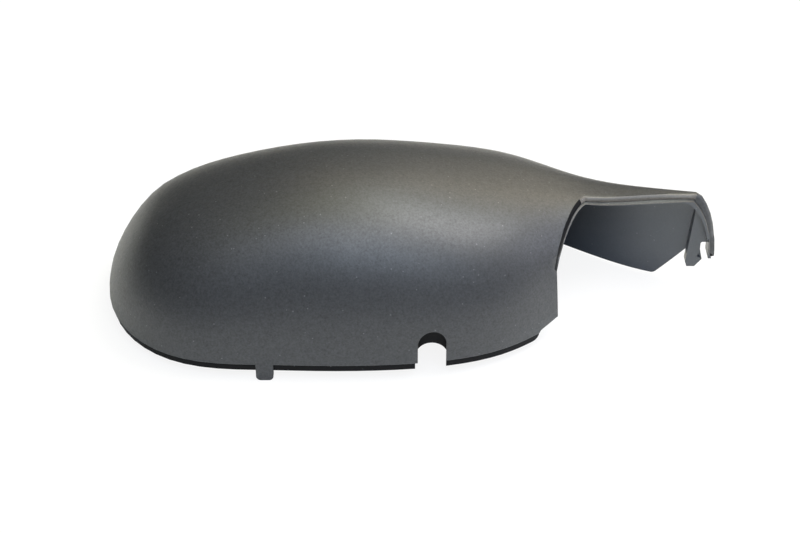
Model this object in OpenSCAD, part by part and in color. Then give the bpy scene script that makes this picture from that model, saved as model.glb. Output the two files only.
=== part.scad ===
// Wing mirror cover: one moulded plastic shell with an arm that covers the mirror's foot.
// The shell is lofted along its length in the plane of its rim, and then laid on the floor
// as it rests, on the tip of its tab and on the far side of its rim.
// In the rim's own plane x runs from the nose to the arm's end, y from the near side to the
// far side, and z from the rim up to the crown.

/* [Shell] */
// Length from the nose to the outside of the end wall
cover_l = 292; // [250:1:330]
// Reach of the near side from the centre line
near_d = 63; // [50:0.5:75]
// Reach of the far side from the centre line
far_d = 67; // [55:0.5:80]
// Height of the crown above the rim
crown_h = 72; // [60:0.5:85]
// Height of the arm above the rim
arm_h = 47; // [40:0.5:54]
// Thickness of the moulded wall
wall = 2.5; // [2:0.1:3.2]
// Length over which the nose closes in plan
nose_plan_l = 74; // [50:1:90]
// Length over which the nose closes in height
nose_side_l = 29; // [20:1:45]
// Distance of the nose's tip behind the centre line
nose_y = 9; // [0:0.5:20]

/* [Rim] */
// Height of the tongue that stands below the skin's edge
tongue_h = 3.3; // [1.5:0.1:5]
// Rounding of the skin's lower edge
edge_r = 1.1; // [0.4:0.1:1.5]
// Distance from the near wall's right edge back to the end of the tongue
tongue_gap = 7.5; // [5:0.5:16]
// Rounding of the tongue's end
tongue_r = 3; // [1:0.5:5]
// Height of the step that the rim takes past the tongue's end
rim_step = 1.2; // [0.4:0.1:2]
// Rise of the rim from the tongue to the wall's right edge
rim_rise = 4; // [3:0.5:8]
// Distance by which the wall's right edge flares out towards its foot
edge_flare = 1.7; // [0.2:0.1:3]

/* [Tab] */
// Distance from the nose to the middle of the locating tab
tab_x = 78.5; // [60:0.5:110]
// Width of the tab
tab_w = 8; // [5:0.5:14]
// Length of the tab below the skin's edge
tab_l = 8.2; // [6:0.1:12]
// Radius of the tab's lower corners
tab_r = 2.2; // [0.5:0.1:2.4]

/* [Notch] */
// Distance from the nose to the middle of the notch
notch_x = 155; // [130:0.5:175]
// Width of the notch, whose top is a half circle
notch_w = 13; // [9:0.5:18]
// Height of the notch's top above the rim
notch_h = 16.7; // [12:0.1:22]
// Length of rim left without a tongue beside the notch
notch_relief = 1.2; // [0.6:0.1:4]
// Clear depth between the wall and the saddle behind the notch
saddle_gap = 5; // [4:0.5:9]
// Height of the saddle's arch above the rim
saddle_h = 6.5; // [2:0.5:8]
// Radius of the saddle's arch
saddle_r = 7.4; // [7:0.1:9]
// Thickness of the saddle and its two side webs
saddle_t = 2; // [1.4:0.1:2.6]

/* [Arm] */
// Distance from the end wall back to the near wall's right edge
arm_l = 79; // [72:1:90]
// Distance from the centre line to the near edge of the arm's roof, at the body
arm_edge_y = 5.7; // [4:0.1:7]
// Distance from the centre line to that edge at the end wall
arm_end_y = 8.2; // [7.8:0.1:9]
// Height above the rim at which the near wall's edge starts to lean
lean_z = 29; // [24:1:38]
// Length over which the cut-out's slanted edge runs into the arm's edge
lean_x = 15; // [8:0.5:20]
// Width of the step that is left inside along the cut-out
step_w = 1.8; // [0.6:0.1:2.4]
// Distance from the end wall back to the tip of the far wall's flap
flap_l = 27; // [22:1:36]
// Rounding of that tip
flap_r = 3; // [1:0.5:6]
// Height above the rim at which the flap's slanted edge meets the end wall
flap_rise = 25; // [18:1:28]

/* [End wall and hook] */
// Length over which the roof rounds down into the end wall
end_round_l = 10; // [6:0.5:14]
// Thickness of the end wall at its foot
end_wall = 3.4; // [2.5:0.1:4.5]
// Height of the end wall's foot above the rim
end_foot_z = 13.6; // [10:0.1:17]
// Gap between the end wall and the snap hook
hook_gap = 3.6; // [2.5:0.1:4.5]
// Thickness of the hook's leg
hook_t = 5.4; // [4:0.1:6.5]
// Width of the hook across the arm
hook_w = 4.8; // [4:0.1:5.2]
// Height of the hook's tip above the rim
hook_tip_z = 7; // [4:0.1:9]
// Height of the gap's root above the rim
hook_root_z = 21; // [18:0.5:24]
// Reach of the barb past the leg
barb_w = 1.3; // [0.8:0.1:2]
// How far the hook's face is set back from the end wall's edge
hook_setback = 0.8; // [0.4:0.1:1.4]

/* [Inside] */
// Width of each catch inside the rim
catch_w = 9; // [6:0.5:14]
// Depth of each catch
catch_d = 1.8; // [1:0.1:2.6]
// Height of each catch
catch_h = 6; // [4:0.5:9]

/* [Hidden] */

// Control values of the loft at equal steps of its length, as shares of the driving sizes
NEAR_LINE = [1.00, 1.02, 0.97, 1.00, 1.00, 0.95, 0.79, 0.25, 0.01, 0.04];
FAR_LINE = [0.96, 0.93, 0.90, 0.90, 0.94, 1.01, 1.00, 0.64, 0.31, 0.22];
CROWN_LINE = [0.39, 0.74, 0.89, 1.00, 1.00, 0.89, 0.78];
ARM_LINE = [0.97, 1.03, 1.015];
// How square the section's corners are, from the nose to the end: 2 is an ellipse
NEAR_CORNER = [2.3, 2.3, 2.3, 2.5, 3.0];
FAR_CORNER = [2.3, 2.3, 2.3, 3.0, 4.5];
// How square the nose is, in plan and in side view
NOSE_CORNER = 2.2;
// How the roof bends down into the end wall: how late it starts and how square it ends
END_CURVE = [1.2, 0.3];

near_line = near_d * NEAR_LINE;
far_line = far_d * FAR_LINE;
height_line = concat(crown_h * CROWN_LINE, arm_h * ARM_LINE);

// Rings of the loft along the body and along the arm
body_n = 41;
arm_n = 28;
// Those of the arm that lie along its slanted edge
lean_n = 10;
// Steps of a ring up the near wall as far as the cut-out, and from there to the far rim
near_n = 6;
over_n = 27;
arc_n = 32;
flap_steps = 5;
// Least distance of the first and last ring from the ends of the loft
tip = 0.03;
// Height of the trace that is left of the tongue where it has ended
trace = 0.05;
// How far cutters run past the part
past = 60;
// Rounding of the far wall's corner at the arm's end, in plan
tail_r = 4;
// Extra length over which the inside rounds down at the end wall
end_fillet_l = 6;
// Length over which the rim steps up past the tongue
step_run = 0.8;
// Depth to which parts are sunk into the wall that carries them
seat = wall / 2;

half_wall = wall / 2;
cut_x = cover_l - arm_l;
end_in_x = cover_l - end_wall;
tongue_end_x = cut_x - tongue_gap;
tongue_stop_x = tongue_end_x - tongue_r;
// Foot of the near wall's right edge
edge_foot_x = cut_x + edge_flare * (1 - rim_rise / lean_z);
// How far the end's rounding would run past the end wall's foot, where it is cut off level
end_over = end_round_l / pow(1 - pow(end_foot_z / arm_h, 1 / END_CURVE[1]), 1 / END_CURVE[0]) - end_round_l;

// Uniform cubic B-spline through the first and the last of its values, at share t of its length
function spline(c, t) =
    let (m = len(c) - 1, x = min(max(t, 0), 1) * m, i = min(floor(x), m - 1), u = x - i)
    let (a = i == 0 ? 2 * c[0] - c[1] : c[i - 1], d = i + 2 > m ? 2 * c[m] - c[m - 1] : c[i + 2])
    (a * pow(1 - u, 3) + c[i] * (3 * pow(u, 3) - 6 * u * u + 4)
     + c[i + 1] * (-3 * pow(u, 3) + 3 * u * u + 3 * u + 1) + d * pow(u, 3)) / 6;

// Share of the full size that a rounded end has reached at distance s from its tip
function closing(s, l) = s >= l ? 1 : pow(1 - pow((l - max(s, 0)) / l, NOSE_CORNER), 1 / NOSE_CORNER);

// Drop of a quarter circle of radius r at distance s past its start
function round_off(s, r) = s <= 0 ? 0 : r - sqrt(max(r * r - s * s, 0));

// The skin moved inwards by d: its two rim lines, its height and the corners of its section
function plan_share(x, d) = closing(x - d, nose_plan_l - d);
function near_y(x, d = 0) =
    let (k = plan_share(x, d))
    nose_y * (1 - k) - k * (spline(near_line, x / cover_l) - d);
function far_y(x, d = 0) =
    let (k = plan_share(x, d))
    nose_y * (1 - k) + k * (spline(far_line, x / cover_l) - d) - round_off(x - cover_l + tail_r, tail_r - d);
function end_share(x, d) =
    let (from = cover_l - end_round_l - end_fillet_l * d / wall)
    let (u = min(max((x - from) / (last_x(d) - from), 0), 1))
    pow(1 - pow(u, END_CURVE[0]), END_CURVE[1]);
function skin_h(x, d = 0) =
    closing(x - d, nose_side_l - d) * end_share(x, d) * (spline(height_line, x / cover_l) - d);
function last_x(d) = cover_l + end_over - end_wall * d / wall;

// How square the section is on its near and its far side
function squareness(x, far) = spline(far ? FAR_CORNER : NEAR_CORNER, x / cover_l);

// Point of the surface that lies d inside the skin, at angle a of the section at x
function on_skin(x, d, a) =
    let (ny = near_y(x, d), fy = far_y(x, d), z0 = d == 0 ? edge_r : 0)
    let (p = squareness(x, a > 90), r = pow(pow(abs(cos(a)), p) + pow(abs(sin(a)), p), -1 / p))
    [x, (ny + fy) / 2 - r * cos(a) * (fy - ny) / 2, z0 + r * abs(sin(a)) * max(skin_h(x, d) - z0, tip)];

// Angle at which that surface has reached height z on the near side
function angle_at_z(x, d, z) =
    let (s = min(max(z / skin_h(x, d), 0), 0.98), p = squareness(x, false))
    atan2(s, pow(1 - pow(s, p), 1 / p));

// Angle at which that surface has reached distance y from the centre line
function angle_at_y(x, d, y) =
    let (ny = near_y(x, d), fy = far_y(x, d))
    let (c = min(max(((ny + fy) / 2 - y) * 2 / (fy - ny), -0.95), 0.995), p = squareness(x, c < 0))
    atan2(pow(1 - pow(abs(c), p), 1 / p), c);

// Edge of the cut-out in plan: a slanted part that runs into the straight edge of the arm
lean_y = on_skin(cut_x, 0, angle_at_z(cut_x, 0, lean_z))[1];
function arm_line(x) = arm_edge_y + (arm_end_y - arm_edge_y) * (x - cut_x) / arm_l;
function edge_y(x) = arm_line(x) - (arm_line(cut_x) - lean_y) * pow(max(1 - (x - cut_x) / lean_x, 0), 1.3);
function edge_angle(x) = angle_at_y(x, 0, edge_y(max(x, cut_x)));

// Angle that lies a length w further down the near side of a surface
function angle_before(x, d, a, w) = a - min(w / norm(on_skin(x, d, a) - on_skin(x, d, a - 1)), a / 2);
split_out = edge_angle(cut_x);
split_in = angle_before(cut_x, wall, split_out, step_w);

// Stations crowd towards the nose, the tongue's end and both ends of the arm
TONGUE_STEPS = [0.4, 0.75, 0.95, 1];
function body_x(i, d) =
    let (n = body_n - 7, k = i - n - 1, from = d + tip)
    i <= n ? from + (tongue_stop_x - from) * (1 - cos(180 * i / n)) / 2
    : k < 4 ? tongue_stop_x + tongue_r * TONGUE_STEPS[k]
    : k < 5 ? tongue_end_x + step_run
    : i < body_n ? (tongue_end_x + step_run + cut_x) / 2 : cut_x;
function arm_x(i, d) =
    let (from = cut_x + lean_x * 1.1, to = last_x(d) - tip)
    i <= lean_n ? cut_x + (from - cut_x) * i / lean_n
    : from + (to - from) * sin(90 * (i - lean_n) / (arm_n - lean_n));
function station(i, d) = i <= body_n ? body_x(i, d) : arm_x(i - body_n, d);
// The near rim's last station lies at the foot of the wall's flared edge
function rim_x(i, d) = i < body_n ? station(i, d) : edge_foot_x;

// The near rim is level up to the tongue's end, steps up there, and rises to the right edge
function near_rim_z(x) =
    let (past_tongue = max(x - tongue_end_x, 0), past_step = max(past_tongue - step_run, 0))
    rim_step * min(past_tongue / step_run, 1)
    + (rim_rise - rim_step) * past_step / (edge_foot_x - tongue_end_x - step_run);
function near_tongue(x) =
    x >= tongue_end_x ? trace
    : x <= tongue_stop_x ? tongue_h
    : trace + (tongue_h - trace) * sqrt(1 - pow((x - tongue_stop_x) / tongue_r, 2));

// Heights and insets of the skin's rounded edge, and of the tongue's outline inside it
FOOT = [for (a = [0, 45]) [edge_r * (1 - cos(a)), edge_r * (1 - sin(a))]];
TONGUE = [[0, half_wall], [-1, half_wall], [-1, wall]];

function near_foot(i) = [for (v = FOOT)
    let (x = rim_x(i, v[1]), z = near_rim_z(x), a = angle_at_z(x, 0, z))
    [x, near_y(x, v[1]) + on_skin(x, 0, a)[1] - near_y(x), z + v[0]]];
function near_tongue_points(i) = [for (v = TONGUE)
    let (x = rim_x(i, v[1])) [x, near_y(x, v[1]), near_rim_z(x) + v[0] * near_tongue(x)]];
function far_points(i) = concat(
    [for (k = [1, 0]) let (x = station(i, FOOT[k][1])) [x, far_y(x, FOOT[k][1]), FOOT[k][0]]],
    [for (v = TONGUE) let (x = station(i, v[1])) [x, far_y(x, v[1]), v[0] * tongue_h]]);

// Points of one surface between two angles
function sweep(x, d, a0, a1, n) = [for (k = [0:n]) on_skin(x, d, a0 + (a1 - a0) * k / n)];
function reversed(v) = [for (k = [len(v) - 1:-1:0]) v[k]];

// Ring of the body: up outside the near wall, over, round the far rim, and back inside
function over_points(i, a0, a1) = concat(
    sweep(station(i, 0), 0, a0, 180, over_n), far_points(i),
    reversed(sweep(station(i, wall), wall, a1, 180, over_n)));
function near_wall(i, d, split) =
    let (x = station(i, d), foot_x = rim_x(i, d), a0 = angle_at_z(foot_x, d, near_rim_z(foot_x)))
    [for (k = [0:near_n - 1])
        let (a = a0 + (split - a0) * k / near_n, z = on_skin(x, d, a)[2])
        on_skin(i < body_n ? x : x + edge_flare * (1 - z / lean_z), d, a)];
function body_ring(i) = concat(
    near_foot(i), near_wall(i, 0, split_out), over_points(i, split_out, split_in),
    reversed(near_wall(i, wall, split_in)), reversed(near_tongue_points(i)));

// Edge of the cut-out half way through the wall, where the inner half goes on by the step
function step_points(i) =
    let (x = station(i, half_wall), a = edge_angle(x))
    [for (b = [angle_before(x, half_wall, a, step_w), a]) on_skin(x, half_wall, b)];
function arm_ring(i) =
    let (x = station(i, wall))
    concat(
        over_points(i, edge_angle(station(i, 0)), angle_before(x, wall, edge_angle(x), step_w)),
        step_points(i));

// Counts of points: a body ring, its outer chain, the part it shares with the arm, an arm ring
over_count = 2 * over_n + 7;
body_count = over_count + 2 * near_n + 5;
outer_count = near_n + over_n + 5;
arm_count = over_count + 2;
over_at = near_n + 2;

// Index of point j of a body ring, and of an arm ring, whose first one is the body's last
function body_at(i, j) = i * body_count + j % body_count;
function arm_at(i, j) =
    i > 0 ? (body_n + 1) * body_count + 2 + (i - 1) * arm_count + j % arm_count
    : j % arm_count < over_count ? body_at(body_n, over_at + j % arm_count)
    : (body_n + 1) * body_count + j % arm_count - over_count;

shell_points = concat(
    [for (i = [0:body_n]) each body_ring(i)],
    step_points(body_n),
    [for (i = [body_n + 1:body_n + arm_n]) each arm_ring(i)]);

// Two triangles between four points, split along the shorter diagonal
function between(a, b) = norm(shell_points[a] - shell_points[b]);
function quad(a, b, c, d) =
    between(a, c) <= between(b, d) ? [[a, c, b], [a, d, c]] : [[a, d, b], [b, d, c]];

// A flat end drawn as a ladder between both its sides
function ladder(from, count) = [for (j = [0:count / 2 - 2])
    each quad(from + j, from + j + 1, from + count - 2 - j, from + count - 1 - j)];

nose_faces = concat(
    ladder(0, outer_count), ladder(outer_count, body_count - outer_count),
    quad(outer_count - 1, outer_count, body_count - 1, 0));
body_faces = [for (i = [0:body_n - 1], j = [0:body_count - 1])
    each quad(body_at(i, j), body_at(i + 1, j), body_at(i + 1, j + 1), body_at(i, j + 1))];
wall_end_face = [concat(
    [arm_at(0, arm_count - 2)],
    [for (j = [over_at + over_count - 1:body_count - 1]) body_at(body_n, j)],
    [for (j = [0:over_at]) body_at(body_n, j)],
    [arm_at(0, arm_count - 1)])];
arm_faces = [for (i = [0:arm_n - 1], j = [0:arm_count - 1])
    each quad(arm_at(i, j), arm_at(i + 1, j), arm_at(i + 1, j + 1), arm_at(i, j + 1))];
function end_at(j) = arm_at(arm_n, j);
end_faces = concat(
    [for (j = [0:over_n - 1], k = [over_count - 1])
        each quad(end_at(k - j), end_at(k - j - 1), end_at(j + 1), end_at(j))],
    [[for (j = [over_n:over_n + 6]) end_at(j)]],
    quad(end_at(arm_count - 1), end_at(arm_count - 2), end_at(over_count - 1), end_at(0)));

// The whole shell with its tongue and the cut-out under the arm
module shell() {
    polyhedron(shell_points, concat(nose_faces, body_faces, wall_end_face, arm_faces, end_faces));
}

// Lays a profile drawn in x and z across the part, from y0 to y1
module across(y0, y1) {
    translate([0, y1, 0]) rotate([90, 0, 0]) linear_extrude(y1 - y0) children();
}

// The far wall ends in a flap with a rounded tip and a slanted edge up to the end wall
module flap_cut() {
    tip_x = cover_l - flap_l;
    lean = atan((flap_rise + tongue_h) / (end_in_x - tip_x));
    arc = [for (k = [1:flap_steps]) let (a = lean * k / flap_steps)
        [tip_x - flap_r * tan(lean / 2) + flap_r * sin(a), flap_r * (1 - cos(a)) - tongue_h]];
    across(arm_edge_y, far_y(cut_x) + past) polygon(concat(
        [[arc[0][0], -past]], arc, [[end_in_x, flap_rise], [end_in_x, end_foot_z]],
        [[cover_l + past, end_foot_z], [cover_l + past, -past]]));
    across(near_y(cut_x), far_y(cut_x) + past)
        translate([end_in_x - hook_gap, -past]) square([past, past + end_foot_z]);
}

module notch_profile(w, top) {
    translate([0, top - w / 2]) circle(d = w, $fn = arc_n);
    translate([-w / 2, -past]) square([w, past + top - w / 2]);
}

// The U-shaped notch goes through the near wall only
module notch_cut() {
    across(near_y(notch_x) - past, near_y(notch_x) + wall + saddle_gap / 2)
        translate([notch_x, 0]) notch_profile(notch_w, notch_h);
    across(near_y(notch_x) - past, near_y(notch_x) + wall + saddle_gap / 2)
        translate([notch_x - notch_w / 2 - notch_relief, -past]) square([notch_w + notch_relief, past]);
}

// Locating tab, flush with the outside of the near wall
module tab() {
    translate([tab_x, near_y(tab_x), 0]) hull() {
        for (side = [-1, 1])
            translate([side * (tab_w / 2 - tab_r), wall, tab_r - tab_l])
                rotate([90, 0, 0]) cylinder(r = tab_r, h = wall, $fn = arc_n);
        translate([-tab_w / 2, 0, edge_r]) cube([tab_w, wall, edge_r]);
    }
}

// Saddle behind the notch: an arched plate on two side webs
module saddle() {
    back_y = near_y(notch_x) + wall + saddle_gap;
    outer_w = notch_w + 4 * saddle_t;
    top_z = notch_h + saddle_t;
    for (side = [-1, 1])
        let (web_x = notch_x + side * (outer_w - saddle_t) / 2) hull() {
            translate([web_x - saddle_t / 2, near_y(web_x) + wall - 0.5, -1]) cube([saddle_t, wall, top_z + 1]);
            translate([web_x - saddle_t / 2, back_y, -1]) cube([saddle_t, saddle_t * 0.6, top_z + 1]);
        }
    across(back_y - saddle_t / 4, back_y + saddle_t) translate([notch_x, 0]) difference() {
        translate([saddle_t / 2 - outer_w / 2, -0.5]) square([outer_w - saddle_t, top_z]);
        translate([0, saddle_h - saddle_r]) circle(r = saddle_r, $fn = arc_n * 2);
    }
}

// Profile of the snap hook and its gusset, in x and z
module hook_profile() {
    right_x = end_in_x - hook_gap;
    left_x = right_x - hook_t;
    mid_x = cover_l - end_wall / 2;
    polygon([
        [left_x + 1.6, arm_h - wall], [left_x + 1.2, hook_root_z + 15], [left_x, hook_root_z + 2],
        [left_x - 1.2, hook_tip_z + 2.5], [left_x - 0.4, hook_tip_z], [right_x - 2, hook_tip_z],
        [right_x + barb_w, hook_tip_z + 4.2], [right_x, hook_tip_z + 10.5], [right_x, hook_root_z - 0.6],
        [right_x + 0.6, hook_root_z], [end_in_x, hook_root_z], [mid_x, hook_root_z + 1],
        [mid_x - 2.6, hook_root_z + 12], [cover_l - end_round_l, arm_h - 2 * wall]]);
}

// Snap hook beside the end wall, with a pocket under its barb
module hook() {
    y0 = arm_end_y + hook_setback;
    right_x = end_in_x - hook_gap;
    difference() {
        across(y0, y0 + hook_w) hook_profile();
        across(y0 - 1, y0 + hook_w / 3) polygon([
            [right_x - 1.2, hook_tip_z + 5.4], [right_x + barb_w + 1, hook_tip_z + 4.4],
            [right_x + barb_w + 1, hook_tip_z + 10.5], [right_x, hook_tip_z + 10.5]]);
    }
}

// Wedge-shaped catch on the inside of a wall, which it leaves upwards
module rim_catch(x, y, inward) {
    hull() {
        translate([x - catch_w / 2, min(y, y - inward * seat), 1]) cube([catch_w, seat, catch_h]);
        translate([x - catch_w / 2, y + (inward > 0 ? 0 : -catch_d), 1]) cube([catch_w, catch_d, catch_h / 4]);
    }
}

// Two catches inside the near side of the rim and three inside its far side
module catches() {
    for (x = [0.34, 0.44] * cover_l)
        rim_catch(x, near_y(x, wall), 1);
    for (x = [0.2, 0.4, 0.6] * cover_l)
        rim_catch(x, far_y(x, wall), -1);
}

module mirror_cover_in_rim_plane() {
    difference() {
        shell();
        flap_cut();
        notch_cut();
    }
    tab();
    saddle();
    hook();
    catches();
}

// Tilt at which the cover rests on the inner edge of its tab and the far side of its tongue
tab_foot_y = near_y(tab_x) + wall;
far_foot_y = max([for (i = [0:body_n]) far_y(station(i, half_wall), half_wall)]);
rest_tilt = atan((tab_l - tongue_h) / (far_foot_y - tab_foot_y));
floor_z = -tab_l * cos(rest_tilt) - tab_foot_y * sin(rest_tilt);
resting_y = [for (i = [0:body_n], p = body_ring(i)) p[1] * cos(rest_tilt) + p[2] * sin(rest_tilt)];
mid_y = (min(resting_y) + max(resting_y)) / 2;

module mirror_cover() {
    color("#3b3d40")
        translate([-cover_l / 2, -mid_y, -floor_z])
            rotate([-rest_tilt, 0, 0]) mirror_cover_in_rim_plane();
}

mirror_cover();
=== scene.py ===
"""Wing mirror cover: one black moulded shell, lying on a white table under studio light."""

import logging
import math
from dataclasses import dataclass, field
from enum import Enum

import bmesh
import bpy
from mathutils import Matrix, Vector
from mathutils.kdtree import KDTree

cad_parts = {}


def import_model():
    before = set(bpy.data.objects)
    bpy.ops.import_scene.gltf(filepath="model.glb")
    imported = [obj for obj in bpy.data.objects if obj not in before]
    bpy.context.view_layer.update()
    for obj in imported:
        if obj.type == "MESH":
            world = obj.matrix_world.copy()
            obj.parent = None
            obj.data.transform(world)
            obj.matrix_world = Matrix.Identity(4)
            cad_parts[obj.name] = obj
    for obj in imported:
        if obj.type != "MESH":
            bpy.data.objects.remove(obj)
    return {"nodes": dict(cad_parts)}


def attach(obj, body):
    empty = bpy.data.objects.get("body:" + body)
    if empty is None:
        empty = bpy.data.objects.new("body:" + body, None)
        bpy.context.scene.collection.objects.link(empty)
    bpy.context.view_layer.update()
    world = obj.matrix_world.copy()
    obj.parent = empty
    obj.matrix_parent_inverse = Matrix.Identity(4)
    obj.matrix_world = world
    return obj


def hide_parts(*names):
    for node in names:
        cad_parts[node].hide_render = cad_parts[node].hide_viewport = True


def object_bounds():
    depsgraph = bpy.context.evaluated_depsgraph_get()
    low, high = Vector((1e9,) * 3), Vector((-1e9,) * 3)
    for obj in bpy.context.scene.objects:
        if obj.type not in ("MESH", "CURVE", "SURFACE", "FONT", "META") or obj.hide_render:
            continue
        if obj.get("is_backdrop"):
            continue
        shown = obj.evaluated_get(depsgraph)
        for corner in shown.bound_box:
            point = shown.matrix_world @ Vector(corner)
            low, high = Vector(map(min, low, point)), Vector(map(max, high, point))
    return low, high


log = logging.getLogger("mirror_cover")

MM = 0.001
SHELL_NODE = "mirror_cover"

# A place in a box, as shares of its length, depth and height
Share = tuple[float, float, float]
# Red, green and blue, each from 0 to 1, in linear light
Colour = tuple[float, float, float]
Edges = list[bmesh.types.BMEdge]
Skin = set[bmesh.types.BMFace]


class Surface(Enum):
    """The cover's surfaces, each with a finish of its own; the value is its material index."""

    SKIN = 0
    INSIDE = 1
    TRIM = 2
    EDGE = 3


@dataclass(frozen=True)
class Box:
    """The cover's box in the row frame, in metres."""

    low: Vector
    high: Vector

    def at(self, share: Share) -> Vector:
        """Point at a share of the box.

        Args:
            share: Shares of the length, depth and height, each from 0 to 1.

        Returns:
            The point, in metres.
        """
        return Vector(
            lo + (hi - lo) * s for lo, hi, s in zip(self.low, self.high, share)
        )


def new_group(name: str, outputs: list[str]) -> bpy.types.NodeTree:
    """Makes an empty shader node group.

    Args:
        name: Name of the group.
        outputs: Names of the float outputs.

    Returns:
        The group, with its output node named "out".
    """
    tree = bpy.data.node_groups.new(name, "ShaderNodeTree")
    for label in outputs:
        tree.interface.new_socket(label, in_out="OUTPUT", socket_type="NodeSocketFloat")
    tree.nodes.new("NodeGroupOutput").name = "out"
    return tree


def math_node(
    tree: bpy.types.NodeTree, operation: str, *values: float | bpy.types.NodeSocket
) -> bpy.types.NodeSocket:
    """Adds a Math node.

    Args:
        tree: The tree that takes the node.
        operation: The node's operation.
        values: Numbers or sockets, in the order of the node's inputs.

    Returns:
        The node's output.
    """
    node = tree.nodes.new("ShaderNodeMath")
    node.operation = operation
    for socket, value in zip(node.inputs, values):
        if isinstance(value, bpy.types.NodeSocket):
            tree.links.new(value, socket)
        else:
            socket.default_value = value
    return node.outputs[0]


def noise_node(
    tree: bpy.types.NodeTree, coords: bpy.types.NodeSocket, per_metre: float, detail: float = 1.0
) -> bpy.types.NodeSocket:
    """Adds a Noise Texture node.

    Args:
        tree: The tree that takes the node.
        coords: Object coordinates.
        per_metre: Scale of the noise.
        detail: Number of finer layers.

    Returns:
        The noise, from 0 to 1.
    """
    node = tree.nodes.new("ShaderNodeTexNoise")
    node.inputs["Scale"].default_value = per_metre
    node.inputs["Detail"].default_value = detail
    tree.links.new(coords, node.inputs["Vector"])
    return node.outputs["Fac"]


def mix_colours(
    tree: bpy.types.NodeTree,
    share: bpy.types.NodeSocket,
    first: Colour | bpy.types.NodeSocket,
    second: Colour,
) -> bpy.types.NodeSocket:
    """Adds a Mix node for colours.

    Args:
        tree: The tree that takes the node.
        share: Share of the second colour.
        first: The first colour, or a socket that gives it.
        second: The second colour.

    Returns:
        The mixed colour.
    """
    node = tree.nodes.new("ShaderNodeMix")
    node.data_type = "RGBA"
    tree.links.new(share, node.inputs["Factor"])
    if isinstance(first, bpy.types.NodeSocket):
        tree.links.new(first, node.inputs["A"])
    else:
        node.inputs["A"].default_value = (*first, 1)
    node.inputs["B"].default_value = (*second, 1)
    return node.outputs["Result"]


@dataclass(frozen=True)
class MouldGrain:
    """The fine leather-like grain that the mould leaves on the plastic, with pale specks."""

    pebble_mm: float = 1.0
    fine_mm: float = 0.45
    fine_share: float = 0.5
    mottle_mm: float = 2.4
    mottle_share: float = 0.5
    mottle_detail: float = 2.0
    # Brings the middle of the summed noises back to a half
    tone_offset: float = 0.5
    speck_cell_mm: float = 3.0
    speck_mm: float = 0.33
    # Only the cells whose random value is above this one hold a speck
    speck_above: float = 0.68
    speck_share: float = 0.22

    def group(self) -> bpy.types.NodeTree:
        """Builds the node group.

        Returns:
            A group with the outputs Height, Tone and Speck.
        """
        tree = new_group("mould_grain", ["Height", "Tone", "Speck"])
        coords = tree.nodes.new("ShaderNodeTexCoord").outputs["Object"]
        pebbles = noise_node(tree, coords, 1 / (self.pebble_mm * MM))
        fine = noise_node(tree, coords, 1 / (self.fine_mm * MM))
        mottle = noise_node(tree, coords, 1 / (self.mottle_mm * MM), self.mottle_detail)
        height = math_node(tree, "MULTIPLY_ADD", fine, self.fine_share, pebbles)
        total = math_node(tree, "MULTIPLY_ADD", mottle, self.mottle_share, height)
        outputs = {
            "Height": height,
            "Tone": math_node(tree, "SUBTRACT", total, self.tone_offset),
            "Speck": self._specks(tree, coords),
        }
        for label, socket in outputs.items():
            tree.links.new(socket, tree.nodes["out"].inputs[label])
        return tree

    def _specks(
        self, tree: bpy.types.NodeTree, coords: bpy.types.NodeSocket
    ) -> bpy.types.NodeSocket:
        """Adds the pale specks, one in some of the cells of a Voronoi pattern.

        Args:
            tree: The tree that takes the nodes.
            coords: Object coordinates.

        Returns:
            How much of the specks' colour shows, from 0 to the specks' share.
        """
        cells = tree.nodes.new("ShaderNodeTexVoronoi")
        cells.inputs["Scale"].default_value = 1 / (self.speck_cell_mm * MM)
        tree.links.new(coords, cells.inputs["Vector"])
        radius = self.speck_mm / self.speck_cell_mm
        spot = math_node(tree, "LESS_THAN", cells.outputs["Distance"], radius)
        chosen = math_node(tree, "GREATER_THAN", cells.outputs["Color"], self.speck_above)
        speck = math_node(tree, "MULTIPLY", spot, chosen)
        return math_node(tree, "MULTIPLY", speck, self.speck_share)


@dataclass(frozen=True)
class BlackPlastic:
    """Unpainted black plastic, as the mould leaves it."""

    name: str
    colour: Colour
    roughness: float
    specular: float = 0.5
    tone_swing: float = 0.0
    rough_swing: float = 0.0
    bump_strength: float = 0.0
    bump_mm: float = 0.06
    speck_colour: Colour = (0.30, 0.31, 0.32)

    def material(self, grain: bpy.types.NodeTree) -> bpy.types.Material:
        """Builds the material.

        Args:
            grain: The shared node group of the grain.

        Returns:
            The material, which reads Object coordinates only.
        """
        mat = bpy.data.materials.new(self.name)
        mat.use_nodes = True
        tree = mat.node_tree
        shader = tree.nodes["Principled BSDF"]
        shader.inputs["Specular IOR Level"].default_value = self.specular
        group = tree.nodes.new("ShaderNodeGroup")
        group.node_tree = grain
        tone = group.outputs["Tone"]

        dark, light = (
            tuple(channel * level for channel in self.colour)
            for level in (1 - self.tone_swing, 1 + self.tone_swing)
        )
        toned = mix_colours(tree, tone, dark, light)
        specked = mix_colours(tree, group.outputs["Speck"], toned, self.speck_colour)
        tree.links.new(specked, shader.inputs["Base Color"])

        roughest = self.roughness + self.rough_swing
        rough = math_node(tree, "MULTIPLY_ADD", tone, -2 * self.rough_swing, roughest)
        tree.links.new(rough, shader.inputs["Roughness"])
        bump = tree.nodes.new("ShaderNodeBump")
        bump.inputs["Strength"].default_value = self.bump_strength
        bump.inputs["Distance"].default_value = self.bump_mm * MM
        tree.links.new(group.outputs["Height"], bump.inputs["Height"])
        tree.links.new(bump.outputs["Normal"], shader.inputs["Normal"])
        return mat


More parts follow.
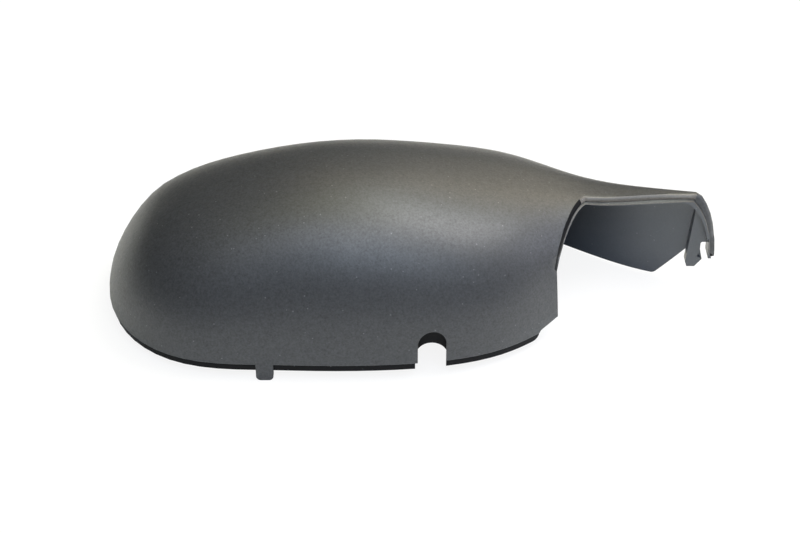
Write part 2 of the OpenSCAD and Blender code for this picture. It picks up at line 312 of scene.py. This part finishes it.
FINISHES = {
    Surface.SKIN: BlackPlastic(
        "grained_black_plastic", (0.030, 0.031, 0.034), 0.45,
        tone_swing=0.55, rough_swing=0.06, bump_strength=0.5),
    # Plain inside: the same plastic without grain, in a lighter colour that paints in light the
    # hollow doesn't get
    Surface.INSIDE: BlackPlastic(
        "plain_plastic_painted_light", (0.054, 0.058, 0.065), 0.40, tone_swing=0.1, bump_strength=0.06),
    # Painted highlight: a lighter, warmer colour on the rounded edges, standing in for the light
    # they catch
    Surface.EDGE: BlackPlastic(
        "painted_highlight_plastic", (0.084, 0.075, 0.065), 0.42, tone_swing=0.3, bump_strength=0.2),
    # Painted shade: near-black colour for the tongue, the saddle and the slanted groove, which
    # lie in shade
    Surface.TRIM: BlackPlastic(
        "painted_shade_plastic", (0.003, 0.003, 0.004), 0.50, specular=0.12,
        tone_swing=0.1, bump_strength=0.06),
}


@dataclass(frozen=True)
class TableTop:
    """White table that the camera sees as plain white, with the cover's shadow on it."""

    name: str = "white_table"
    colour: Colour = (0.86, 0.86, 0.86)
    background: Colour = (1.0, 1.0, 1.0)
    roughness: float = 0.9
    shadow_share: float = 0.12

    def material(self) -> bpy.types.Material:
        """Builds the material.

        Returns:
            The material: mostly plain white to the camera, and lit otherwise.
        """
        mat = bpy.data.materials.new(self.name)
        mat.use_nodes = True
        tree = mat.node_tree
        lit = tree.nodes["Principled BSDF"]
        lit.inputs["Base Color"].default_value = (*self.colour, 1)
        lit.inputs["Roughness"].default_value = self.roughness
        lit.inputs["Specular IOR Level"].default_value = 0.0
        plain = tree.nodes.new("ShaderNodeEmission")
        plain.inputs["Color"].default_value = (*self.background, 1)
        path = tree.nodes.new("ShaderNodeLightPath")
        plain_share = 1 - self.shadow_share
        share = math_node(tree, "MULTIPLY", path.outputs["Is Camera Ray"], plain_share)
        mix = tree.nodes.new("ShaderNodeMixShader")
        tree.links.new(share, mix.inputs["Fac"])
        tree.links.new(lit.outputs[0], mix.inputs[1])
        tree.links.new(plain.outputs[0], mix.inputs[2])
        tree.links.new(mix.outputs[0], tree.nodes["Material Output"].inputs["Surface"])
        return mat


@dataclass(frozen=True)
class RimFrame:
    """The cover's own frame: along it, across it, and up from the plane of its rim.

    The cover lies tilted about X, on its tab's tip and on the far side of its rim. The other
    values are the row frame's distances from this one, in metres.
    """

    tilt_deg: float = 2.23851
    middle: float = 0.146
    across: float = 0.00220593
    down: float = 0.00586799

    def local(self, place: Vector) -> Vector:
        """Turns a place into the rim's own frame.

        Args:
            place: The place in the row frame, in metres.

        Returns:
            The distances from the nose, from the centre line and from the rim, in metres.
        """
        y, z = place.y + self.across, place.z - self.down
        tilt = math.radians(self.tilt_deg)
        cos, sin = math.cos(tilt), math.sin(tilt)
        return Vector((place.x + self.middle, y * cos - z * sin, y * sin + z * cos))


@dataclass(frozen=True)
class ArmEdge:
    """Where the near edge of the arm's roof and end wall lies in the rim's frame, in metres."""

    from_x: float = 0.2125
    below_y: float = 0.0115
    above_z: float = 0.0285
    # The end wall's edge reaches further down than the roof's
    end_from_x: float = 0.276
    end_above_z: float = 0.0150
    # The straight part lies between the slanted part and the end wall
    straight_from_x: float = 0.2255
    straight_to_x: float = 0.2805

    def holds(self, place: Vector) -> bool:
        """Tells whether a place lies on the edge.

        Args:
            place: The place in the rim's frame, in metres.

        Returns:
            True on the edge of the arm's roof and of its end wall.
        """
        lowest = self.above_z if place.x < self.end_from_x else self.end_above_z
        return place.x > self.from_x and place.y < self.below_y and place.z > lowest


@dataclass(frozen=True)
class ArmLip:
    """The thin lip inside the arm's edge, and how deep in the wall it starts."""

    depth_mm: float = 2.05
    solid_depth_mm: float = 1.25
    width_mm: float = 1.8
    width_slack_mm: float = 0.25


@dataclass(frozen=True)
class EdgeRounding:
    """Rounding of the sharp edges that bound the outer skin, and of the lip's tip."""

    arm_mm: float = 1.9
    other_mm: float = 0.35
    lip_mm: float = 0.22
    segments: int = 4
    profile: float = 0.32
    # The skin's points near the arm's edge slide back by up to the room, along the reach
    room_mm: float = 2.3
    reach_mm: float = 9.0
    ring_slack_mm: float = 0.02
    # The roll on the slanted part gets painted shade where its face looks up less than this
    steep_z: float = 0.8


@dataclass(frozen=True)
class PaintedShadeTrim:
    """The tongue and the saddle behind the notch: plain plastic that gets painted shade, a
    near-black colour for the shade in these recesses.
    """

    reach_mm: float = 3.4
    # A face is on the tongue's outside when it looks outwards, or down, by at least this much
    outwards: float = 0.25
    downwards: float = 0.7
    # The tab and the saddle, by places in the rim's frame, in metres
    tab_x: float = 0.0785
    tab_w: float = 0.0083
    tab_below_z: float = 0.0010
    saddle_x: float = 0.155
    saddle_w: float = 0.025
    saddle_y: tuple[float, float] = (-0.0574, -0.0495)
    saddle_below_z: float = 0.0195

    def surface(self, place: Vector, on_tongue: bool) -> Surface:
        """Tells which surface a place that isn't on the skin belongs to.

        Args:
            place: The place in the rim's frame, in metres.
            on_tongue: Whether the place is on the outside of the tongue.

        Returns:
            The surface.
        """
        beside_tab = abs(place.x - self.tab_x) < self.tab_w / 2
        if beside_tab and place.z < self.tab_below_z and place.y < 0:
            return Surface.SKIN
        in_saddle = (
            abs(place.x - self.saddle_x) < self.saddle_w / 2
            and self.saddle_y[0] < place.y < self.saddle_y[1]
            and place.z < self.saddle_below_z
        )
        # Painted shade on the tongue's outside and on the saddle
        if on_tongue or in_saddle:
            return Surface.TRIM
        return Surface.INSIDE


@dataclass(frozen=True)
class Border:
    """The sharp outward edges that bound the skin: those on the arm, and the others."""

    arm: Edges
    others: Edges


@dataclass
class Shell:
    """The moulded shell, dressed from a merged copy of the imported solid."""

    grain: MouldGrain = field(default_factory=MouldGrain)
    rim: RimFrame = field(default_factory=RimFrame)
    arm: ArmEdge = field(default_factory=ArmEdge)
    lip: ArmLip = field(default_factory=ArmLip)
    rounding: EdgeRounding = field(default_factory=EdgeRounding)
    trim: PaintedShadeTrim = field(default_factory=PaintedShadeTrim)
    name: str = "cover_shell"
    merge_mm: float = 0.002
    sharp_deg: float = 40.0
    normal_weight: int = 80

    def build(self, source: bpy.types.Object) -> bpy.types.Object:
        """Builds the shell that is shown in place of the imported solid.

        Args:
            source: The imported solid's object.

        Returns:
            The dressed shell.
        """
        piece = self._merged_copy(source)
        grain = self.grain.group()
        for surface in Surface:
            piece.data.materials.append(FINISHES[surface].material(grain))
        modifier = piece.modifiers.new("even_normals", "WEIGHTED_NORMAL")
        modifier.keep_sharp = True
        modifier.weight = self.normal_weight
        return piece

    def _merged_copy(self, source: bpy.types.Object) -> bpy.types.Object:
        """Copies the solid, joins its loose triangles, dresses them and rounds the edges.

        Args:
            source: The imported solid's object.

        Returns:
            A new object with smooth faces and sharp edges.
        """
        mesh = bpy.data.meshes.new(self.name)
        bm = bmesh.new()
        bm.from_mesh(source.data)
        bmesh.ops.remove_doubles(bm, verts=bm.verts, dist=self.merge_mm * MM)
        bmesh.ops.dissolve_degenerate(bm, edges=bm.edges, dist=self.merge_mm * MM)
        self._mark_sharp(bm)
        skin = self._skin(bm)
        border = self._border(bm, skin)
        self._dress(bm, skin, border)
        lip_tip = self._deepen_lip(bm, skin, border)
        border = self._make_room(skin, border)
        self._round(bm, border.arm, self.rounding.arm_mm)
        self._round(bm, border.others, self.rounding.other_mm)
        self._paint_roll_light_and_shade(bm)
        self._round(bm, lip_tip, self.rounding.lip_mm)
        self._mark_sharp(bm)
        bm.to_mesh(mesh)
        bm.free()
        piece = bpy.data.objects.new(self.name, mesh)
        bpy.context.scene.collection.objects.link(piece)
        return piece

    def _mark_sharp(self, bm: bmesh.types.BMesh) -> None:
        """Smooths all faces and marks the edges that stay sharp.

        Args:
            bm: The shell's mesh.
        """
        sharp = math.radians(self.sharp_deg)
        for face in bm.faces:
            face.smooth = True
        for edge in bm.edges:
            edge.smooth = not (edge.is_manifold and edge.calc_face_angle() > sharp)

    def _skin(self, bm: bmesh.types.BMesh) -> Skin:
        """Finds the outer skin: all faces joined to the crown across smooth edges.

        Args:
            bm: The shell's mesh, with its sharp edges marked.

        Returns:
            The faces of the skin.
        """
        crown = max(bm.faces, key=lambda face: face.calc_center_median().z)
        skin, waiting = {crown}, [crown]
        while waiting:
            for edge in waiting.pop().edges:
                if not edge.smooth:
                    continue
                for face in edge.link_faces:
                    if face not in skin:
                        skin.add(face)
                        waiting.append(face)
        return skin

    def _border(self, bm: bmesh.types.BMesh, skin: Skin) -> Border:
        """Finds the sharp outward edges that bound the skin.

        Args:
            bm: The shell's mesh, with its sharp edges marked.
            skin: The faces of the skin.

        Returns:
            The edges on the arm, and the others.
        """
        border = Border([], [])
        for edge in bm.edges:
            if edge.smooth or not edge.is_convex or len(skin.intersection(edge.link_faces)) != 1:
                continue
            middle = self.rim.local((edge.verts[0].co + edge.verts[1].co) / 2)
            (border.arm if self.arm.holds(middle) else border.others).append(edge)
        return border

    def _dress(self, bm: bmesh.types.BMesh, skin: Skin, border: Border) -> None:
        """Gives each face its surface.

        Args:
            bm: The shell's mesh.
            skin: The faces of the skin.
            border: The skin's border edges.
        """
        trim = self.trim
        outwards = []
        tree = KDTree(len(border.others))
        for index, edge in enumerate(border.others):
            normal = next(face for face in edge.link_faces if face in skin).normal
            outwards.append(Vector((normal.x, normal.y, 0)).normalized())
            tree.insert((edge.verts[0].co + edge.verts[1].co) / 2, index)
        tree.balance()
        for face in bm.faces:
            if face in skin:
                face.material_index = Surface.SKIN.value
                continue
            middle = face.calc_center_median()
            _, index, distance = tree.find(middle)
            faces_out = face.normal.dot(outwards[index]) > trim.outwards
            faces_out = faces_out or face.normal.z < -trim.downwards
            on_tongue = faces_out and distance < trim.reach_mm * MM
            face.material_index = trim.surface(self.rim.local(middle), on_tongue).value

    def _ring_back(self, start: bmesh.types.BMVert, skin: Skin) -> list[bmesh.types.BMVert]:
        """Follows the solid's ring over the skin, away from the arm's edge.

        Args:
            start: A vertex of the edge.
            skin: The faces of the skin.

        Returns:
            The vertices along the ring, from the edge to the end of the reach.
        """
        chain, length = [start], 0.0
        while length < self.rounding.reach_mm * MM:
            here = chain[-1]
            station = self.rim.local(here.co).x
            ahead = [
                vert for vert in (edge.other_vert(here) for edge in here.link_edges)
                if vert not in chain and all(face in skin for face in vert.link_faces)
                and abs(self.rim.local(vert.co).x - station) < self.rounding.ring_slack_mm * MM
            ]
            if not ahead:
                break
            chain.append(min(ahead, key=lambda vert: (vert.co - here.co).length))
            length += (chain[-1].co - here.co).length
        return chain

    def _make_room(self, skin: Skin, border: Border) -> Border:
        """Slides the skin's points back along the skin, to leave room for the arm's rounding.

        Args:
            skin: The faces of the skin.
            border: The skin's border edges.

        Returns:
            The border, with the arm's edges that have no room among the others.
        """
        room = self.rounding.room_mm * MM
        moved: dict[bmesh.types.BMVert, Vector] = {}
        roomy = set()
        for start in {vert for edge in border.arm for vert in edge.verts}:
            chain = self._ring_back(start, skin)
            places = [vert.co.copy() for vert in chain]
            at = [0.0]
            for before, after in zip(places, places[1:]):
                at.append(at[-1] + (after - before).length)
            if at[-1] < 2 * room:
                continue
            roomy.add(start)
            for vert, old in zip(chain[1:-1], at[1:-1]):
                new = room + old * (1 - room / at[-1])
                k = next(k for k in range(1, len(at)) if at[k] >= new)
                part = (new - at[k - 1]) / (at[k] - at[k - 1])
                moved[vert] = places[k - 1].lerp(places[k], part)
        for vert, place in moved.items():
            vert.co = place
        wide = [edge for edge in border.arm if roomy.issuperset(edge.verts)]
        log.info("room: %d of %d edges", len(wide), len(border.arm))
        return Border(wide, border.others + [edge for edge in border.arm if edge not in wide])

    def _deepen_lip(self, bm: bmesh.types.BMesh, skin: Skin, border: Border) -> Edges:
        """Thins the lip inside the arm's edge, so that the rolled edge before it is deeper.

        Args:
            bm: The shell's mesh.
            skin: The faces of the skin.
            border: The skin's border edges.

        Returns:
            The edges along the tip of the lip.
        """
        outer = {vert for edge in border.arm for vert in edge.verts}
        roots = self._lip_roots(bm, skin, outer)
        tips = self._lip_tips(roots, outer)
        for face in bm.faces:
            if face in skin:
                continue
            if all(vert in outer or vert in roots for vert in face.verts):
                # The step face gets painted shade on the slanted part and a painted highlight on
                # the straight part
                along = self.rim.local(face.calc_center_median()).x
                slanted = along < self.arm.straight_from_x
                face.material_index = (Surface.TRIM if slanted else Surface.EDGE).value
            elif all(vert in tips or vert in roots for vert in face.verts):
                face.material_index = Surface.SKIN.value
        for vert, move in (roots | tips).items():
            vert.co += move
        log.info("lip: %d roots and %d tips moved", len(roots), len(tips))
        return [edge for edge in bm.edges if edge.is_convex and tips.keys() >= set(edge.verts)]

    def _lip_roots(
        self, bm: bmesh.types.BMesh, skin: Skin, outer: set[bmesh.types.BMVert]
    ) -> dict[bmesh.types.BMVert, Vector]:
        """Finds the points where the lip leaves the wall.

        Args:
            bm: The shell's mesh.
            skin: The faces of the skin.
            outer: The points of the arm's outer edge.

        Returns:
            The points, each with the way that it has to move into the wall.
        """
        deeper = (self.lip.depth_mm - self.lip.solid_depth_mm) * MM
        roots: dict[bmesh.types.BMVert, Vector] = {}
        for edge in bm.edges:
            if edge.smooth or edge.is_convex or not edge.is_manifold:
                continue
            for root in set(edge.verts) - outer - roots.keys():
                above = outer.intersection(link.other_vert(root) for link in root.link_edges)
                if not above or not self.arm.holds(self.rim.local(root.co)):
                    continue
                nearest = min(above, key=lambda vert: (vert.co - root.co).length)
                normals = [face.normal for face in nearest.link_faces if face in skin]
                roots[root] = -sum(normals, Vector()).normalized() * deeper
        return roots

    def _lip_tips(
        self, roots: dict[bmesh.types.BMVert, Vector], outer: set[bmesh.types.BMVert]
    ) -> dict[bmesh.types.BMVert, Vector]:
        """Finds the points of the lip's tip, a lip's width away from its roots.

        Args:
            roots: The lip's roots, each with its way.
            outer: The points of the arm's outer edge.

        Returns:
            The points, each with the way of its root.
        """
        tips: dict[bmesh.types.BMVert, Vector] = {}
        for root, move in roots.items():
            beside = [link.other_vert(root) for link in root.link_edges]
            miss = {
                vert: abs((vert.co - root.co).length / MM - self.lip.width_mm)
                for vert in beside if vert not in outer and vert not in roots
            }
            tip = min(miss, key=miss.get, default=None)
            if tip is not None and miss[tip] < self.lip.width_slack_mm:
                tips[tip] = move
        return tips

    def _paint_roll_light_and_shade(self, bm: bmesh.types.BMesh) -> None:
        """Keeps the painted highlight of the roll to the straight part of the arm's edge; on the
        slanted part the steeper faces get painted shade and the rest the skin.

        Args:
            bm: The shell's mesh, with the arm's edge rounded.
        """
        for face in bm.faces:
            place = self.rim.local(face.calc_center_median())
            if face.material_index != Surface.EDGE.value or not self.arm.holds(place):
                continue
            if place.x > self.arm.straight_to_x:
                face.material_index = Surface.SKIN.value
            elif place.x < self.arm.straight_from_x:
                steep = face.normal.z < self.rounding.steep_z
                face.material_index = (Surface.TRIM if steep else Surface.SKIN).value

    def _round(self, bm: bmesh.types.BMesh, edges: Edges, width_mm: float) -> None:
        """Rounds some sharp outward edges, and gives the rounding the painted-highlight finish.

        Args:
            bm: The shell's mesh.
            edges: The edges.
            width_mm: Width of the rounding on each side, in millimetres.
        """
        bmesh.ops.bevel(
            bm, geom=[edge for edge in edges if edge.is_valid],
            offset=width_mm * MM, offset_type="OFFSET", affect="EDGES", clamp_overlap=True,
            segments=self.rounding.segments, profile=self.rounding.profile,
            material=Surface.EDGE.value,
        )
        log.info("rounded %d edges by %.2f mm", len(edges), width_mm)


@dataclass(frozen=True)
class Lamp:
    """A soft rectangular lamp that faces the cover: metres, watts and linear colour."""

    name: str
    place: tuple[float, float, float]
    size: tuple[float, float]
    power: float
    colour: Colour


LAMPS = (
    Lamp("front_top", (0.0, -0.45, 1.1), (0.8, 0.4), 6.9, (0.87, 0.92, 1.0)),
    Lamp("front_low", (0.2, -0.8, 0.9), (0.8, 0.4), 5.3, (0.64, 0.79, 1.0)),
    Lamp("right_top", (0.5, 0.0, 1.0), (0.5, 0.5), 9.3, (1.0, 0.98, 0.99)),
    Lamp("right_back_top", (0.35, 0.3, 1.0), (0.6, 0.6), 3.3, (0.84, 0.98, 1.0)),
    Lamp("middle_top", (0.0, 0.1, 1.1), (0.8, 0.6), 3.4, (1.0, 0.94, 0.45)),
    Lamp("right_side", (1.1, 0.0, 0.5), (0.5, 0.6), 4.6, (0.84, 0.87, 1.0)),
    Lamp("right_back", (0.6, 0.8, 0.7), (0.6, 0.5), 4.0, (1.0, 0.86, 0.60)),
    Lamp("back_top", (0.1, 0.7, 1.0), (0.8, 0.5), 1.8, (1.0, 0.78, 0.35)),
)


@dataclass
class Studio:
    """Camera, table and lamps."""

    box: Box
    azimuth_deg: float = 0.0
    elevation_deg: float = 36.24
    distance: float = 0.9
    lens_mm: float = 84.49
    sensor_mm: float = 36.0
    clip_start: float = 0.01
    # The camera looks at the middle of the box's underside, moved by this much
    aim_offset_mm: tuple[float, float, float] = (-5.62, -1.71, 18.68)
    table_size: float = 6.0
    lit_share: Share = (0.5, 0.5, 0.4)
    room_level: float = 0.01

    def camera(self) -> bpy.types.Object:
        """Places the camera at the photograph's angle.

        Returns:
            The camera's object.
        """
        middle = self.box.at((0.5, 0.5, 0.0))
        aim = Vector((middle.x, middle.y, 0)) + Vector(self.aim_offset_mm) * MM
        azimuth, elevation = math.radians(self.azimuth_deg), math.radians(self.elevation_deg)
        back = Vector((
            math.sin(azimuth) * math.cos(elevation),
            -math.cos(azimuth) * math.cos(elevation),
            math.sin(elevation),
        ))
        data = bpy.data.cameras.new("camera")
        data.lens = self.lens_mm
        data.sensor_width = self.sensor_mm
        data.clip_start = self.clip_start
        obj = bpy.data.objects.new("camera", data)
        obj.location = aim + back * self.distance
        obj.rotation_euler = (-back).to_track_quat("-Z", "Y").to_euler()
        bpy.context.scene.collection.objects.link(obj)
        bpy.context.scene.camera = obj
        return obj

    def table(self) -> bpy.types.Object:
        """Lays the table under the cover.

        Returns:
            The table's object.
        """
        mesh = bpy.data.meshes.new("table")
        bm = bmesh.new()
        bmesh.ops.create_grid(bm, x_segments=1, y_segments=1, size=self.table_size / 2)
        bm.to_mesh(mesh)
        bm.free()
        mesh.materials.append(TableTop().material())
        obj = bpy.data.objects.new("table", mesh)
        bpy.context.scene.collection.objects.link(obj)
        return obj

    def hang(self, lamp: Lamp) -> bpy.types.Object:
        """Hangs a lamp and turns it to the cover.

        Args:
            lamp: The lamp, with its place, size, power in watts and colour.

        Returns:
            The lamp's object.
        """
        place = Vector(lamp.place)
        data = bpy.data.lights.new(lamp.name, "AREA")
        data.shape = "RECTANGLE"
        data.size, data.size_y = lamp.size
        data.energy = lamp.power
        data.color = lamp.colour
        obj = bpy.data.objects.new(lamp.name, data)
        obj.location = place
        towards = self.box.at(self.lit_share) - place
        obj.rotation_euler = towards.to_track_quat("-Z", "Y").to_euler()
        bpy.context.scene.collection.objects.link(obj)
        return obj

    def world(self) -> None:
        """Sets the plain grey light of the room, which the camera sees as white."""
        world = bpy.data.worlds.new("room")
        world.use_nodes = True
        tree = world.node_tree
        room = tree.nodes["Background"]
        room.inputs["Color"].default_value = (*[self.room_level] * 3, 1)
        white = tree.nodes.new("ShaderNodeBackground")
        path = tree.nodes.new("ShaderNodeLightPath")
        mix = tree.nodes.new("ShaderNodeMixShader")
        tree.links.new(path.outputs["Is Camera Ray"], mix.inputs["Fac"])
        tree.links.new(room.outputs[0], mix.inputs[1])
        tree.links.new(white.outputs[0], mix.inputs[2])
        tree.links.new(mix.outputs[0], tree.nodes["World Output"].inputs["Surface"])
        bpy.context.scene.world = world

    def build(self) -> None:
        """Builds the camera, the table and the lamps."""
        self.camera()
        self.table()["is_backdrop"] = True
        for lamp in LAMPS:
            self.hang(lamp)
        self.world()
        bpy.context.scene.view_settings.view_transform = "Standard"


def as_lists(bounds: tuple[Vector, Vector]) -> list[list[float]]:
    """Args:
        bounds: The two corners, in metres.

    Returns:
        The corners as lists.
    """
    return [[float(v) for v in corner] for corner in bounds]


def main() -> None:
    """Builds the cover and the studio in order, and reports each."""
    logging.basicConfig(level=logging.INFO, format="%(name)s: %(message)s")
    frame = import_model()
    before = as_lists(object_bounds())

    shell = Shell().build(frame["nodes"][SHELL_NODE])
    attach(shell, "root")
    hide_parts(SHELL_NODE)
    log.info("%s: %d faces", shell.name, len(shell.data.polygons))

    Studio(Box(*(Vector(v) for v in before))).build()
    log.info("studio: camera, table and lamps")


if __name__ == "__main__":
    main()
